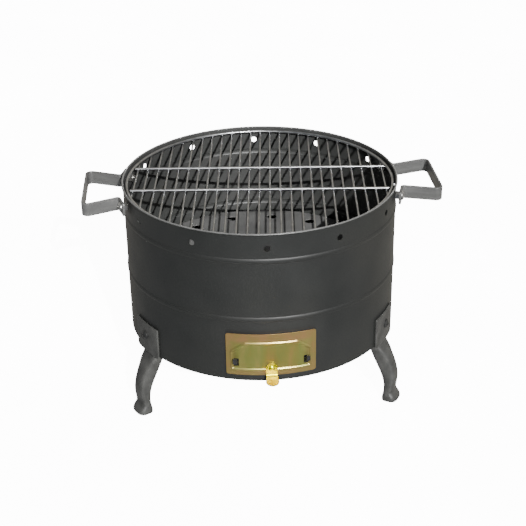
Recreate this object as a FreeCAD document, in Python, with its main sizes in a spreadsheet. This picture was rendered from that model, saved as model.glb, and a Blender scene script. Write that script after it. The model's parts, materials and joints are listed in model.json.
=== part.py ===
import FreeCAD, Part
import math
import os
import Sketcher

# Portable tabletop charcoal grill: a rolled sheet-steel drum on three curved legs, with a cooking
# grate, a loose charcoal plate, two bolted bar handles and a tipping vent door with a pull tab.
# Millimetres and degrees. +Z is up, the door is at the front (-Y), and the origin is on the
# ground under the drum's axis. An azimuth is counted from the front towards +X.

DRIVING_SIZES = {
    # drum
    "drum_radius": 180.0,
    "drum_height": 205.5,
    "sheet_gauge": 1.0,
    "ground_clearance": 90.5,
    "hem_radius": 1.6,
    "bead_low_level": 87.5,
    "bead_high_level": 168.0,
    "bead_height": 0.9,
    "bead_half_width": 3.5,
    # ring of air holes under the rim
    "air_hole_radius": 4.0,
    "air_hole_level": 185.5,
    "air_hole_count": 12,
    "air_hole_phase": -1.2,
    # vent opening in the wall, behind the door
    "vent_width": 72.0,
    "vent_height": 34.0,
    "vent_level": 19.5,
    # closed floor of the drum
    "floor_gauge": 1.0,
    "floor_recess": 4.0,
    "floor_fit": 0.1,
    "floor_rib_radius": 100.0,
    "floor_rib_height": 2.5,
    "floor_rib_half_width": 6.0,
    # legs
    "leg_azimuth": 60.2,
    "leg_pad_gauge": 3.0,
    "leg_pad_height": 41.3,
    "leg_pad_angle": 17.2,
    "leg_pad_lip": 2.5,
    "leg_gap": 0.3,
    "leg_bolt_level": 23.0,
    # handles
    "handle_level": 189.0,
    "handle_bar_width": 18.0,
    "handle_bar_gauge": 3.0,
    "handle_bolt_angle": 15.3,
    "handle_stand_off": 5.0,
    "handle_foot_outer": 10.0,
    "handle_foot_inner": 14.5,
    "handle_root_bend": 3.2,
    "handle_grip_bend": 7.0,
    "grip_reach_left": 231.7,
    "grip_reach_right": 235.7,
    "grip_half_length_left": 58.0,
    "grip_half_length_right": 53.5,
    # bolts and nuts
    "bolt_shank_radius": 2.95,
    "bolt_tip_radius": 2.4,
    "bolt_hole_radius": 3.3,
    "bolt_head_radius": 6.0,
    "bolt_head_height": 3.6,
    "bolt_head_flank": 1.25,
    "leg_bolt_length": 12.0,
    "handle_bolt_length": 16.5,
    "bolt_recess_length": 6.4,
    "bolt_recess_width": 1.3,
    "bolt_recess_depth": 1.6,
    "nut_across_flats": 10.0,
    "nut_height": 5.0,
    "nut_bore_radius": 3.0,
    "nut_seat_gap": 0.2,
    # spacing nuts that hold the handles off the drum
    "spacer_height": 4.7,
    "spacer_seat_gap": 0.1,
    # cooking grate
    "bar_wire_radius": 1.3,
    "bar_pitch": 13.7,
    "bar_count": 25,
    "bar_level": 196.4,
    "ring_radius": 175.0,
    "ring_wire_radius": 2.0,
    "rod_wire_radius": 1.9,
    "rod_offset": 36.5,
    "rod_shift": 1.5,
    "rod_half_length": 168.0,
    "weld_sink": 0.3,
    "grate_turn": -4.3,
    # charcoal plate and its shelf lugs
    "plate_radius": 174.0,
    "plate_gauge": 1.5,
    "plate_level": 74.5,
    "plate_hole_radius": 7.5,
    "outer_hole_circle": 150.5,
    "outer_hole_count": 16,
    "inner_hole_circle": 78.0,
    "inner_hole_count": 8,
    "plate_turn": -10.0,
    "lug_angle": 7.0,
    "lug_depth": 20.0,
    "lug_drop": 14.0,
    "lug_gauge": 1.5,
    "lug_azimuth": 100.0,
    "lug_gap": 0.3,
    # vent door
    "door_stand_off": 1.5,
    "door_gauge": 1.0,
    "door_angle": 36.1,
    "door_level": 9.5,
    "door_height": 59.0,
    "door_corner_radius": 3.0,
    "door_rib_height": 1.3,
    "door_rib_half_width": 1.7,
    "door_rib_top_level": 55.0,
    "door_rib_bottom_level": 17.4,
    "door_rib_shoulder_level": 43.0,
    "door_rib_top_angle": 20.6,
    "door_rib_side_azimuth": 15.9,
    "door_slot_azimuth": 14.05,
    "door_slot_width": 7.0,
    "door_slot_height": 11.0,
    "door_slot_level": 27.5,
    # hooks on the drum that hold the door through its slots
    "hook_width": 5.0,
    "hook_gauge": 1.5,
    "hook_bar_top": 30.5,
    "hook_tip_top": 36.0,
    "hook_reach": 190.2,
    # pull tab on the door and its rivet
    "tab_gauge": 1.5,
    "tab_seat_gap": 0.1,
    "tab_width": 17.0,
    "tab_top": 27.5,
    "tab_bend_level": 10.0,
    "tab_bend_radius": 4.0,
    "tab_tip_level": 7.0,
    "tab_reach": 204.5,
    "tab_end_radius": 7.0,
    "rivet_level": 21.0,
    "rivet_shank_radius": 2.0,
    "rivet_hole_radius": 2.1,
    "rivet_head_radius": 4.0,
    "rivet_head_height": 1.8,
    "rivet_tail_height": 0.7,
    "rivet_tail_gap": 0.06,
}

# Cross-sections of a leg, from the drum down to the sole: height above the ground, radius of
# the back face, radius of the front face, width, and how far the front bulges.
LEG_SECTIONS = (
    (90.2, 162.5, 182.9, 34.0, 8.0),
    (84.0, 164.3, 185.0, 31.0, 7.0),
    (76.0, 166.6, 188.4, 28.0, 5.8),
    (68.0, 169.2, 191.8, 25.4, 5.0),
    (60.0, 172.3, 195.7, 23.0, 5.0),
    (52.0, 176.1, 198.7, 21.6, 5.0),
    (44.0, 180.1, 200.6, 21.0, 5.0),
    (36.0, 183.6, 201.4, 21.2, 5.0),
    (28.0, 186.0, 200.9, 21.8, 4.8),
    (20.0, 187.0, 199.7, 22.8, 4.4),
    (14.0, 187.2, 198.9, 24.2, 3.8),
    (11.5, 187.0, 199.8, 25.2, 3.2),
    (9.0, 186.6, 202.4, 26.2, 2.6),
    (6.5, 186.2, 204.8, 27.0, 2.2),
    (4.0, 186.0, 206.0, 27.4, 2.0),
    (0.0, 186.8, 205.4, 26.8, 2.0),
)
LEG_BACK_CROWN = 2.5

# Length of a cut that starts on the drum's axis and ends clear of everything in front of it.
THROUGH_WALL = "Sizes.drum_radius * 1.3"

doc = FreeCAD.newDocument("tabletop_grill")
sheet = doc.addObject("Spreadsheet::Sheet", "Sizes")
for row, (alias, value) in enumerate(DRIVING_SIZES.items(), start=1):
    sheet.set(f"A{row}", alias.replace("_", " "))
    sheet.set(f"B{row}", str(value))
    sheet.setAlias(f"B{row}", alias)
doc.recompute()

parts = []
UPWARD = FreeCAD.Vector(0, 0, 1)


def size(alias):
    """One driving dimension, as the sheet holds it."""
    return float(sheet.get(alias))


def polar(radius, azimuth, height=0.0):
    """A point at a radius and an azimuth counted from the front."""
    turn = math.radians(azimuth)
    return FreeCAD.Vector(radius * math.sin(turn), -radius * math.cos(turn), height)


def about_axis(azimuth):
    """Placement that turns a piece drawn at the front round the drum to its azimuth."""
    return FreeCAD.Placement(FreeCAD.Vector(), FreeCAD.Rotation(UPWARD, azimuth))


def lifted(height):
    """Placement of a level sketch at a height above the ground."""
    return FreeCAD.Placement(UPWARD * height, FreeCAD.Rotation())


def pointing_out(radius, azimuth, height):
    """Placement of a fastener drawn along its own Z: Z points out of the drum, X points up."""
    outward = polar(1.0, azimuth)
    turn = FreeCAD.Rotation(UPWARD, outward.cross(UPWARD), outward, "ZXY")
    return FreeCAD.Placement(polar(radius, azimuth, height), turn)


def new_body(label):
    """A PartDesign body that becomes one exported sub-part."""
    body = doc.addObject("PartDesign::Body", label)
    body.Label = label
    parts.append(body)
    return body


def new_sketch(body, name, plane, offset=None):
    """A sketch on one of the body's own origin planes."""
    sketch = body.newObject("Sketcher::SketchObject", name)
    support = next(item for item in body.Origin.OriginFeatures if item.Role == plane)
    sketch.AttachmentSupport = [(support, "")]
    sketch.MapMode = "FlatFace"
    if offset is not None:
        sketch.AttachmentOffset = offset
    return sketch


def draw_outline(sketch, start, moves):
    """Closed outline: a move is the end of a straight run, or the middle and end of an arc."""
    here = FreeCAD.Vector(*start, 0)
    for move in moves:
        if isinstance(move[0], tuple):
            middle = FreeCAD.Vector(*move[0], 0)
            end = FreeCAD.Vector(*move[1], 0)
            sketch.addGeometry(Part.Arc(here, middle, end), False)
        else:
            end = FreeCAD.Vector(*move, 0)
            sketch.addGeometry(Part.LineSegment(here, end), False)
        here = end


def draw_circle(sketch, radius, centre=(0.0, 0.0)):
    """A circle whose radius follows an expression of the sheet."""
    circle = Part.Circle(FreeCAD.Vector(*centre, 0), UPWARD, 1.0)
    index = sketch.addGeometry(circle, False)
    constraint = sketch.addConstraint(Sketcher.Constraint("Radius", index, 1.0))
    sketch.setExpression(f"Constraints[{constraint}]", radius)
    return index


def draw_rectangle(sketch, low, high):
    """A rectangle between two opposite corners."""
    corners = [(high[0], low[1]), high, (low[0], high[1]), low]
    draw_outline(sketch, low, corners)


def dome(radius, low, high):
    """Arc of a round cap, from its edge to the top on the axis, as a move of an outline."""
    rise = high - low
    sphere = (radius**2 + rise**2) / (2 * rise)
    half = radius / 2
    level = high - sphere + math.sqrt(sphere**2 - half**2)
    return ((half, level), (0.0, high))


def add_pad(body, sketch, length, midplane=False):
    pad = body.newObject("PartDesign::Pad", sketch.Name + "_pad")
    pad.Profile = sketch
    pad.setExpression("Length", length)
    pad.Midplane = midplane
    return pad


def add_pocket(body, sketch, length, reverse=False, midplane=False):
    pocket = body.newObject("PartDesign::Pocket", sketch.Name + "_pocket")
    pocket.Profile = sketch
    pocket.setExpression("Length", length)
    pocket.Reversed = reverse
    pocket.Midplane = midplane
    return pocket


def add_revolution(body, sketch, angle="360"):
    """A revolution about the sketch's own vertical axis, half to each side of its plane."""
    turned = body.newObject("PartDesign::Revolution", sketch.Name + "_turned")
    turned.Profile = sketch
    turned.ReferenceAxis = (sketch, ["V_Axis"])
    turned.setExpression("Angle", angle)
    turned.Midplane = True
    return turned


def add_polar_pattern(body, feature, count):
    """Repeats a feature round the body's own Z axis."""
    pattern = body.newObject("PartDesign::PolarPattern", feature.Name + "_ring")
    pattern.Originals = [feature]
    axis = next(item for item in body.Origin.OriginFeatures if item.Role == "Z_Axis")
    pattern.Axis = (axis, [""])
    pattern.Angle = 360
    pattern.setExpression("Occurrences", count)
    body.Tip = pattern
    return pattern


def drill_radially(body, name, radius, azimuth, height):
    """A round hole through the wall of a drum-shaped body, along a radius."""
    turn = FreeCAD.Placement(FreeCAD.Vector(), FreeCAD.Rotation(FreeCAD.Vector(0, 1, 0), azimuth))
    sketch = new_sketch(body, name, "XZ_Plane", turn)
    draw_circle(sketch, radius, (0.0, height))
    return add_pocket(body, sketch, THROUGH_WALL, reverse=True)


def round_corners(body, radius, wanted):
    """Fillets the edges of the body's present shape that a test picks out."""
    doc.recompute()
    base = body.Tip
    names = [f"Edge{i}" for i, edge in enumerate(base.Shape.Edges, start=1) if wanted(edge)]
    fillet = body.newObject("PartDesign::Fillet", base.Name + "_rounded")
    fillet.Base = (base, names)
    fillet.setExpression("Radius", radius)
    return fillet


drum_bottom = size("ground_clearance")
wall_inside = size("drum_radius") - size("sheet_gauge")
handle_azimuths = {
    "left_front": -90 + size("handle_bolt_angle"),
    "left_rear": -90 - size("handle_bolt_angle"),
    "right_front": 90 - size("handle_bolt_angle"),
    "right_rear": 90 + size("handle_bolt_angle"),
}
leg_azimuths = {
    "left": -size("leg_azimuth"),
    "right": size("leg_azimuth"),
    "rear": 180.0,
}


def make_drum_wall():
    """Rolled wall with two swaged beads, a rolled hem, air holes and the vent opening."""
    body = new_body("drum_wall")
    outer = size("drum_radius")
    gauge = size("sheet_gauge")
    half = size("bead_half_width")
    rise = size("bead_height")
    levels = [drum_bottom + size("bead_low_level"), drum_bottom + size("bead_high_level")]
    hem = size("hem_radius")
    hem_base = drum_bottom + size("drum_height") - 2 * hem
    moves = []
    for level in levels:
        moves.append((outer, level - half))
        moves.append(((outer + rise, level), (outer, level + half)))
    moves.append((outer, hem_base))
    moves.append(((outer + hem, hem_base + hem), (outer, hem_base + 2 * hem)))
    moves.append((outer - gauge, hem_base + 2 * hem - gauge))
    for level in reversed(levels):
        moves.append((outer - gauge, level + half))
        moves.append(((outer - gauge + rise, level), (outer - gauge, level - half)))
    moves.append((outer - gauge, drum_bottom))
    moves.append((outer, drum_bottom))
    profile = new_sketch(body, "wall_profile", "XZ_Plane")
    draw_outline(profile, (outer, drum_bottom), moves)
    add_revolution(body, profile)

    air_level = drum_bottom + size("air_hole_level")
    air_hole = drill_radially(
        body, "air_hole", "Sizes.air_hole_radius", size("air_hole_phase"), air_level
    )
    add_polar_pattern(body, air_hole, "Sizes.air_hole_count")
    for place, azimuth in handle_azimuths.items():
        level = drum_bottom + size("handle_level")
        drill_radially(body, f"wall_hole_{place}", "Sizes.bolt_hole_radius", azimuth, level)
    for place, azimuth in leg_azimuths.items():
        level = drum_bottom + size("leg_bolt_level")
        drill_radially(body, f"wall_hole_leg_{place}", "Sizes.bolt_hole_radius", azimuth, level)

    vent = new_sketch(body, "vent_opening", "XZ_Plane")
    half_width = size("vent_width") / 2
    sill = drum_bottom + size("vent_level")
    draw_rectangle(vent, (-half_width, sill), (half_width, sill + size("vent_height")))
    add_pocket(body, vent, THROUGH_WALL, reverse=True)


def make_drum_floor():
    """Pressed floor: a recessed disc with a turned-down flange and one stiffening rib."""
    body = new_body("drum_floor")
    gauge = size("floor_gauge")
    edge = wall_inside - size("floor_fit")
    low = drum_bottom + size("floor_recess")
    rib = size("floor_rib_radius")
    half = size("floor_rib_half_width")
    rise = size("floor_rib_height")
    profile = new_sketch(body, "floor_profile", "XZ_Plane")
    moves = [
        (rib - half, low),
        ((rib, low + rise), (rib + half, low)),
        (edge - gauge, low),
        (edge - gauge, drum_bottom),
        (edge, drum_bottom),
        (edge, low + gauge),
        (rib + half, low + gauge),
        ((rib, low + gauge + rise), (rib - half, low + gauge)),
        (0.0, low + gauge),
        (0.0, low),
    ]
    draw_outline(profile, (0.0, low), moves)
    add_revolution(body, profile)


def make_leg(place, azimuth):
    """Leg: a curved bolting pad outside the wall, running down into a cabriole leg."""
    body = new_body(f"leg_{place}")
    inner = size("drum_radius") + size("leg_gap")
    outer = inner + size("leg_pad_gauge")
    pad = new_sketch(body, f"leg_pad_{place}", "YZ_Plane")
    low = drum_bottom - size("leg_gap") - size("leg_pad_lip")
    draw_rectangle(pad, (-outer, low), (-inner, drum_bottom + size("leg_pad_height")))
    add_revolution(body, pad, "Sizes.leg_pad_angle")

    loft = body.newObject("PartDesign::AdditiveLoft", f"leg_shape_{place}")
    sections = []
    for number, (height, back, front, width, crown) in enumerate(LEG_SECTIONS):
        section = new_sketch(body, f"leg_section_{place}_{number}", "XY_Plane", lifted(height))
        half = width / 2
        front_corner = crown - front
        back_corner = -LEG_BACK_CROWN - back
        moves = [
            (half, front_corner),
            ((0.0, -front), (-half, front_corner)),
            (-half, back_corner),
            ((0.0, -back), (half, back_corner)),
        ]
        draw_outline(section, (half, back_corner), moves)
        sections.append(section)
    loft.Profile = sections[0]
    loft.Sections = sections[1:]
    loft.Ruled = False
    body.Tip = loft
    level = drum_bottom + size("leg_bolt_level")
    drill_radially(body, f"leg_hole_{place}", "Sizes.bolt_hole_radius", 0.0, level)
    body.Placement = about_axis(azimuth)


def bar_side(points, bends, offset):
    """One face of a bent flat bar: the centre line moved sideways, with round bends."""
    directions = [(b - a).normalize() for a, b in zip(points, points[1:])]
    sides = [FreeCAD.Vector(-d.y, d.x, 0) for d in directions]
    stretches = [[points[0] + sides[0] * offset]]
    arcs = []
    for number, bend in enumerate(bends):
        before, after = directions[number], directions[number + 1]
        turn = before.getAngle(after)
        inward = 1.0 if before.cross(after).z > 0 else -1.0
        corner = points[number + 1]
        centre = corner + (after - before).normalize() * (bend / math.cos(turn / 2))
        radius = bend - inward * offset
        start = centre - sides[number] * inward * radius
        end = centre - sides[number + 1] * inward * radius
        middle = centre - (after - before).normalize() * radius
        arcs.append((middle, end))
        stretches[-1].append(start)
        stretches.append([end])
    stretches[-1].append(points[-1] + sides[-1] * offset)
    return stretches, arcs


def make_handle(side, azimuth):
    """Handle: one flat bar on edge, bent into a tapered loop with two bolting feet."""
    body = new_body(f"handle_{side}")
    gauge = size("handle_bar_gauge")
    seat = size("drum_radius") + size("handle_stand_off") + gauge / 2
    splay = math.radians(size("handle_bolt_angle"))
    bolt = FreeCAD.Vector(seat * math.cos(splay), seat * math.sin(splay), 0)
    tangent = FreeCAD.Vector(-math.sin(splay), math.cos(splay), 0)
    foot = bolt + tangent * size("handle_foot_outer")
    root = bolt - tangent * size("handle_foot_inner")
    reach = size(f"grip_reach_{side}")
    half_length = size(f"grip_half_length_{side}")
    grip = FreeCAD.Vector(reach - gauge / 2, half_length - gauge / 2, 0)
    half_line = [foot, root, grip]
    line = half_line + [FreeCAD.Vector(p.x, -p.y, 0) for p in reversed(half_line)]
    root_bend = size("handle_root_bend")
    grip_bend = size("handle_grip_bend")
    bends = [root_bend, grip_bend, grip_bend, root_bend]
    level = drum_bottom + size("handle_level")
    sketch = new_sketch(body, f"handle_bar_{side}", "XY_Plane", lifted(level))
    faces = [bar_side(line, bends, gauge / 2), bar_side(line, bends, -gauge / 2)]
    for stretches, arcs in faces:
        for start, end in stretches:
            sketch.addGeometry(Part.LineSegment(start, end), False)
        for (_, start), (middle, end) in zip(stretches, arcs):
            sketch.addGeometry(Part.Arc(start, middle, end), False)
    for end in (0, -1):
        corner_a = faces[0][0][end][end]
        corner_b = faces[1][0][end][end]
        sketch.addGeometry(Part.LineSegment(corner_a, corner_b), False)
    add_pad(body, sketch, "Sizes.handle_bar_width", midplane=True)
    for end, angle in (("a", -1), ("b", 1)):
        turn = 90 + angle * size("handle_bolt_angle")
        drill_radially(body, f"handle_hole_{side}_{end}", "Sizes.bolt_hole_radius", turn, level)
    body.Placement = about_axis(azimuth)


def make_bolt(label, length, place):
    """Pan-head bolt with a cross recess, drawn along Z with the head's seat at the origin."""
    body = new_body(label)
    head = size("bolt_head_radius")
    rise = size("bolt_head_height")
    shank = size("bolt_shank_radius")
    tip = shank - size("bolt_tip_radius")
    flank = size("bolt_head_flank")
    profile = new_sketch(body, f"{label}_profile", "XZ_Plane")
    moves = [
        (shank - tip, -length),
        (shank, -length + tip),
        (shank, 0.0),
        (head, 0.0),
        (head, flank),
        dome(head, flank, rise),
        (0.0, -length),
    ]
    draw_outline(profile, (0.0, -length), moves)
    add_revolution(body, profile)
    reach = size("bolt_recess_length") / 2
    web = size("bolt_recess_width") / 2
    recess = new_sketch(body, f"{label}_recess", "XY_Plane", lifted(rise))
    cross = []
    for quarter in range(4):
        turn = FreeCAD.Rotation(UPWARD, 90 * quarter)
        for corner in ((web, web), (reach, web), (reach, -web)):
            spot = turn.multVec(FreeCAD.Vector(corner[0], -corner[1], 0))
            cross.append((spot.x, spot.y))
    draw_outline(recess, cross[-1], cross)
    add_pocket(body, recess, "Sizes.bolt_recess_depth")
    body.Placement = place


def make_nut(label, height, place):
    """Hexagon nut, drawn along Z with its seat at the top and one corner on X."""
    body = new_body(label)
    corner = size("nut_across_flats") / math.sqrt(3)
    points = []
    for sixth in range(6):
        turn = math.radians(60 * sixth)
        points.append((corner * math.cos(turn), corner * math.sin(turn)))
    sketch = new_sketch(body, f"{label}_hexagon", "XY_Plane")
    draw_outline(sketch, points[-1], points)
    draw_circle(sketch, "Sizes.nut_bore_radius")
    pad = add_pad(body, sketch, f"Sizes.{height}")
    pad.Reversed = True
    body.Placement = place


def make_fasteners():
    """One bolt and one nut at each handle foot and each leg, and a spacing nut behind each foot."""
    nut_seat = wall_inside - size("nut_seat_gap")
    foot_back = size("drum_radius") + size("handle_stand_off")
    spacer_seat = foot_back - size("spacer_seat_gap")
    head_seats = {
        "handle": foot_back + size("handle_bar_gauge"),
        "leg": size("drum_radius") + size("leg_gap") + size("leg_pad_gauge"),
    }
    for kind, azimuths in (("handle", handle_azimuths), ("leg", leg_azimuths)):
        level = size("handle_level") if kind == "handle" else size("leg_bolt_level")
        height = drum_bottom + level
        length = size(f"{kind}_bolt_length")
        for place, azimuth in azimuths.items():
            head_place = pointing_out(head_seats[kind], azimuth, height)
            make_bolt(f"{kind}_bolt_{place}", length, head_place)
            nut_place = pointing_out(nut_seat, azimuth, height)
            make_nut(f"{kind}_nut_{place}", "nut_height", nut_place)
    height = drum_bottom + size("handle_level")
    for place, azimuth in handle_azimuths.items():
        spacer_place = pointing_out(spacer_seat, azimuth, height)
        make_nut(f"handle_spacer_{place}", "spacer_height", spacer_place)


def make_grate():
    """Cooking grate: parallel bars under a ring, with two thicker rods across their tops."""
    turned = about_axis(size("grate_turn"))
    level = drum_bottom + size("bar_level")
    bars = []
    half_count = int(size("bar_count")) // 2
    for number in range(-half_count, half_count + 1):
        bar = doc.addObject("Part::Cylinder", f"bar_{number + half_count + 1}")
        offset = number * size("bar_pitch")
        bar.setExpression("Radius", "Sizes.bar_wire_radius")
        chord = f"2 * sqrt(Sizes.ring_radius ^ 2 - ({number} * Sizes.bar_pitch) ^ 2)"
        bar.setExpression("Height", chord)
        half = math.sqrt(size("ring_radius") ** 2 - offset**2)
        along_y = FreeCAD.Rotation(FreeCAD.Vector(1, 0, 0), -90)
        bar.Placement = turned.multiply(
            FreeCAD.Placement(FreeCAD.Vector(offset, -half, level), along_y)
        )
        bars.append(bar)
    add_group("grate_bars", bars)

    ring = doc.addObject("Part::Torus", "grate_ring")
    ring.setExpression("Radius1", "Sizes.ring_radius")
    ring.setExpression("Radius2", "Sizes.ring_wire_radius")
    top_of_bars = level + size("bar_wire_radius") - size("weld_sink")
    ring.Placement.Base = FreeCAD.Vector(0, 0, top_of_bars + size("ring_wire_radius"))
    parts.append(ring)

    rods = []
    for number, side in enumerate((-1, 1), start=1):
        rod = doc.addObject("Part::Cylinder", f"rod_{number}")
        rod.setExpression("Radius", "Sizes.rod_wire_radius")
        rod.setExpression("Height", "2 * Sizes.rod_half_length")
        start = FreeCAD.Vector(
            -size("rod_half_length"),
            side * size("rod_offset") + size("rod_shift"),
            top_of_bars + size("rod_wire_radius"),
        )
        along_x = FreeCAD.Rotation(FreeCAD.Vector(0, 1, 0), 90)
        rod.Placement = turned.multiply(FreeCAD.Placement(start, along_x))
        rods.append(rod)
    add_group("grate_cross_rods", rods)


def add_group(label, members):
    """Separate solids that share one exported sub-part."""
    group = doc.addObject("Part::Compound", label)
    group.Links = members
    parts.append(group)


def make_charcoal_plate():
    """Loose round plate with two rings of draught holes and one in the middle."""
    body = new_body("charcoal_plate")
    low = drum_bottom + size("plate_level") - size("plate_gauge")
    disc = new_sketch(body, "plate_disc", "XY_Plane", lifted(low))
    draw_circle(disc, "Sizes.plate_radius")
    draw_circle(disc, "Sizes.plate_hole_radius")
    add_pad(body, disc, "Sizes.plate_gauge")
    for ring in ("outer", "inner"):
        spot = new_sketch(body, f"plate_hole_{ring}", "XY_Plane", lifted(low))
        middle = size(f"{ring}_hole_circle")
        draw_circle(spot, "Sizes.plate_hole_radius", (0.0, middle))
        hole = add_pocket(body, spot, "Sizes.plate_gauge * 2", midplane=True)
        add_polar_pattern(body, hole, f"Sizes.{ring}_hole_count")
    body.Placement = about_axis(size("plate_turn"))


def make_plate_lug(place, azimuth):
    """Small angle welded inside the wall, which the charcoal plate rests on."""
    body = new_body(f"plate_lug_{place}")
    gauge = size("lug_gauge")
    top = drum_bottom + size("plate_level") - size("plate_gauge") - size("lug_gap")
    inner = wall_inside - size("lug_depth")
    profile = new_sketch(body, f"lug_profile_{place}", "YZ_Plane")
    moves = [
        (-wall_inside, top - size("lug_drop")),
        (-wall_inside, top),
        (-inner, top),
        (-inner, top - gauge),
        (-wall_inside + gauge, top - gauge),
        (-wall_inside + gauge, top - size("lug_drop")),
    ]
    draw_outline(profile, moves[-1], moves)
    add_revolution(body, profile, "Sizes.lug_angle")
    body.Placement = about_axis(azimuth)


def make_vent_door():
    """Curved door plate with a raised rib, a slot for each hook and a hole for the tab's rivet."""
    body = new_body("vent_door")
    inner = size("drum_radius") + size("door_stand_off")
    outer = inner + size("door_gauge")
    low = drum_bottom + size("door_level")
    plate = new_sketch(body, "door_plate", "YZ_Plane")
    draw_rectangle(plate, (-outer, low), (-inner, low + size("door_height")))
    add_revolution(body, plate, "Sizes.door_angle")
    gauge = size("door_gauge")

    def is_corner(edge):
        return isinstance(edge.Curve, Part.Line) and abs(edge.Length - gauge) < 0.01

    round_corners(body, "Sizes.door_corner_radius", is_corner)

    half = size("door_rib_half_width")
    crest = outer + size("door_rib_height")
    runs = (
        ("top", "Sizes.door_rib_top_angle"),
        ("bottom", "2 * Sizes.door_rib_side_azimuth"),
    )
    for run, angle in runs:
        level = drum_bottom + size(f"door_rib_{run}_level")
        rib = new_sketch(body, f"door_rib_{run}", "YZ_Plane")
        moves = [((-crest, level), (-outer, level + half)), (-inner, level + half)]
        moves += [(-inner, level - half), (-outer, level - half)]
        draw_outline(rib, (-outer, level - half), moves)
        add_revolution(body, rib, angle)
    side_azimuth = size("door_rib_side_azimuth")
    levels = [size(f"door_rib_{mark}_level") for mark in ("bottom", "shoulder", "top")]
    azimuths = [side_azimuth, side_azimuth, size("door_rib_top_angle") / 2]
    for side in (-1, 1):
        path = [
            polar(crest - half, side * azimuth, drum_bottom + level)
            for azimuth, level in zip(azimuths, levels)
        ]
        for run, (start, end) in enumerate(zip(path, path[1:]), start=1):
            side_rib = body.newObject("PartDesign::AdditiveCylinder", f"door_rib_side_{run}")
            side_rib.setExpression("Radius", "Sizes.door_rib_half_width")
            side_rib.Height = start.distanceToPoint(end)
            side_rib.Placement = FreeCAD.Placement(start, FreeCAD.Rotation(UPWARD, end - start))

    for side in (-1, 1):
        turn = FreeCAD.Rotation(FreeCAD.Vector(0, 1, 0), side * size("door_slot_azimuth"))
        name = f"door_slot_{'right' if side > 0 else 'left'}"
        slot = new_sketch(body, name, "XZ_Plane", FreeCAD.Placement(FreeCAD.Vector(), turn))
        across = size("door_slot_width") / 2
        up = size("door_slot_height") / 2
        level = drum_bottom + size("door_slot_level")
        draw_rectangle(slot, (-across, level - up), (across, level + up))
        add_pocket(body, slot, THROUGH_WALL, reverse=True)
    rivet = drum_bottom + size("rivet_level")
    drill_radially(body, "door_rivet_hole", "Sizes.rivet_hole_radius", 0.0, rivet)


def make_door_hook(side, azimuth):
    """Hook that stands out of the wall, through the door's slot, and turns up in front of it."""
    body = new_body(f"door_hook_{side}")
    gauge = size("hook_gauge")
    wall = size("drum_radius")
    reach = size("hook_reach")
    bar_top = drum_bottom + size("hook_bar_top")
    tip_top = drum_bottom + size("hook_tip_top")
    profile = new_sketch(body, f"hook_profile_{side}", "YZ_Plane")
    moves = [
        (-reach, bar_top - gauge),
        (-reach, tip_top),
        (-reach + gauge, tip_top),
        (-reach + gauge, bar_top),
        (-wall, bar_top),
        (-wall, bar_top - gauge),
    ]
    draw_outline(profile, moves[-1], moves)
    add_pad(body, profile, "Sizes.hook_width", midplane=True)
    body.Placement = about_axis(azimuth)


def make_pull_tab():
    """Finger tab: a strip riveted over the door's lower rib and bent outward, with a round end."""
    body = new_body("door_pull_tab")
    gauge = size("tab_gauge")
    face = size("drum_radius") + size("door_stand_off") + size("door_gauge")
    back = face + size("door_rib_height") + size("tab_seat_gap")
    top = drum_bottom + size("tab_top")
    bend_level = drum_bottom + size("tab_bend_level")
    tip = drum_bottom + size("tab_tip_level")
    reach = size("tab_reach")
    line = [
        FreeCAD.Vector(-(back + gauge / 2), top, 0),
        FreeCAD.Vector(-(back + gauge / 2), bend_level, 0),
        FreeCAD.Vector(-reach, tip, 0),
    ]
    sketch = new_sketch(body, "tab_strip", "YZ_Plane")
    faces = [bar_side(line, [size("tab_bend_radius")], offset) for offset in (gauge / 2, -gauge / 2)]
    for stretches, arcs in faces:
        for start, end in stretches:
            sketch.addGeometry(Part.LineSegment(start, end), False)
        sketch.addGeometry(Part.Arc(stretches[0][1], *arcs[0]), False)
    for end in (0, -1):
        sketch.addGeometry(Part.LineSegment(faces[0][0][end][end], faces[1][0][end][end]), False)
    add_pad(body, sketch, "Sizes.tab_width", midplane=True)

    def is_end_corner(edge):
        return isinstance(edge.Curve, Part.Line) and abs(edge.Length - gauge) < 0.01

    round_corners(body, "Sizes.tab_end_radius", is_end_corner)
    rivet = drum_bottom + size("rivet_level")
    drill_radially(body, "tab_rivet_hole", "Sizes.rivet_hole_radius", 0.0, rivet)

    rivet_body = new_body("door_tab_rivet")
    shank = size("rivet_shank_radius")
    head = size("rivet_head_radius")
    rise = size("rivet_head_height")
    tail = size("rivet_tail_height")
    depth = back + gauge - (face - size("door_gauge")) + size("rivet_tail_gap")
    profile = new_sketch(rivet_body, "rivet_profile", "XZ_Plane")
    moves = [
        (shank + tail, -depth - tail),
        (shank + tail, -depth),
        (shank, -depth),
        (shank, 0.0),
        (head, 0.0),
        dome(head, 0.0, rise),
        (0.0, -depth - tail),
    ]
    draw_outline(profile, (0.0, -depth - tail), moves)
    add_revolution(rivet_body, profile)
    rivet_body.Placement = pointing_out(back + gauge, 0.0, rivet)


make_drum_wall()
make_drum_floor()
for leg_place, leg_turn in leg_azimuths.items():
    make_leg(leg_place, leg_turn)
for handle_side, handle_turn in (("left", 180.0), ("right", 0.0)):
    make_handle(handle_side, handle_turn)
make_fasteners()
make_grate()
make_charcoal_plate()
for lug_place, lug_turn in (("left", -1), ("right", 1)):
    make_plate_lug(lug_place, lug_turn * size("lug_azimuth"))
make_plate_lug("rear", 180.0)
make_vent_door()
for hook_side, hook_turn in (("left", -1), ("right", 1)):
    make_door_hook(hook_side, hook_turn * size("door_slot_azimuth"))
make_pull_tab()

doc.recompute()
for item in doc.Objects:
    faults = [state for state in item.State if state in ("Invalid", "Error")]
    if faults:
        raise RuntimeError(f"{item.Name} failed: {item.State}")
for part in parts:
    if part.Shape.isNull() or not part.Shape.isValid():
        raise RuntimeError(f"{part.Label} has no valid shape")

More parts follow.
